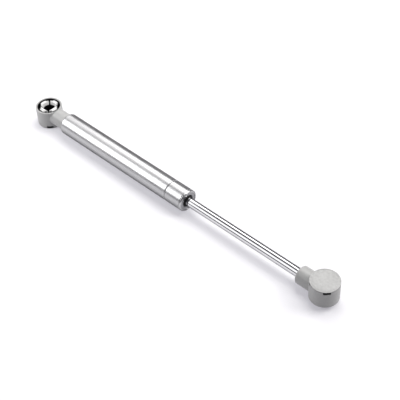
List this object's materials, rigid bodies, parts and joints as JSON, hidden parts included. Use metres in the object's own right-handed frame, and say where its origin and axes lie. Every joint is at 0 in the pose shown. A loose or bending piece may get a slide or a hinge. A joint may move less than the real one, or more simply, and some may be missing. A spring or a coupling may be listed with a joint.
{
  "type": "gas strut stay",
  "caption": "Gas strut stay for a cabinet lid: a silver tube, a sliding chrome rod and a grey clip-on stud socket at each end.",
  "frame": {"origin": "centre of the stud bore in the tube's head, where it crosses the strut's axis", "axes": "+X along the strut towards the rod's head, +Z out of the mouth of the tube's socket"},
  "size_m": [0.2635, 0.0186, 0.0162],
  "materials": {
    "tube_steel": "satin silver",
    "plug_steel": "turned, zinc plated",
    "washer_steel": "zinc plated",
    "rod_chrome": "hard chrome, polished",
    "piston_aluminium": "turned",
    "head_plastic": "moulded nylon, satin grey",
    "cap_plastic": "moulded nylon, fine texture",
    "insert_plastic": "moulded acetal, light grey",
    "guide_plastic": "moulded acetal, black",
    "ring_plastic": "filled PTFE",
    "seal_rubber": "nitrile rubber"
  },
  "bodies": {
    "barrel": {"cylinder_tube": "tube_steel", "end_plug": "plug_steel", "end_plug_o_ring": "seal_rubber", "seal_support_washer": "washer_steel", "rod_seal": "seal_rubber", "guide_bush": "guide_plastic", "guide_o_ring": "seal_rubber", "end_washer": "washer_steel", "tube_socket_body": "head_plastic", "tube_socket_collet": "insert_plastic", "tube_socket_sleeve": "guide_plastic", "tube_socket_cap": "cap_plastic"},
    "piston_seal": {"piston_ring": "ring_plastic"},
    "rod": {"piston_rod": "rod_chrome", "piston": "piston_aluminium", "valve_disc": "washer_steel", "backing_washer": "washer_steel", "rebound_bumper": "seal_rubber", "rod_socket_body": "head_plastic", "rod_socket_collet": "insert_plastic", "rod_socket_sleeve": "guide_plastic", "rod_socket_cap": "cap_plastic"}
  },
  "joints": [
    {"name": "rod_slide", "type": "slide", "parent": "barrel", "child": "piston_seal", "axis": [1, 0, 0], "range_m": [-0.08, 0], "stiffness_N_per_m": 225, "springref_m": 0.267},
    {"name": "rod_spin", "type": "hinge", "parent": "piston_seal", "child": "rod", "pos_m": [0.13, 0, 0], "axis": [1, 0, 0], "continuous": true}
  ]
}
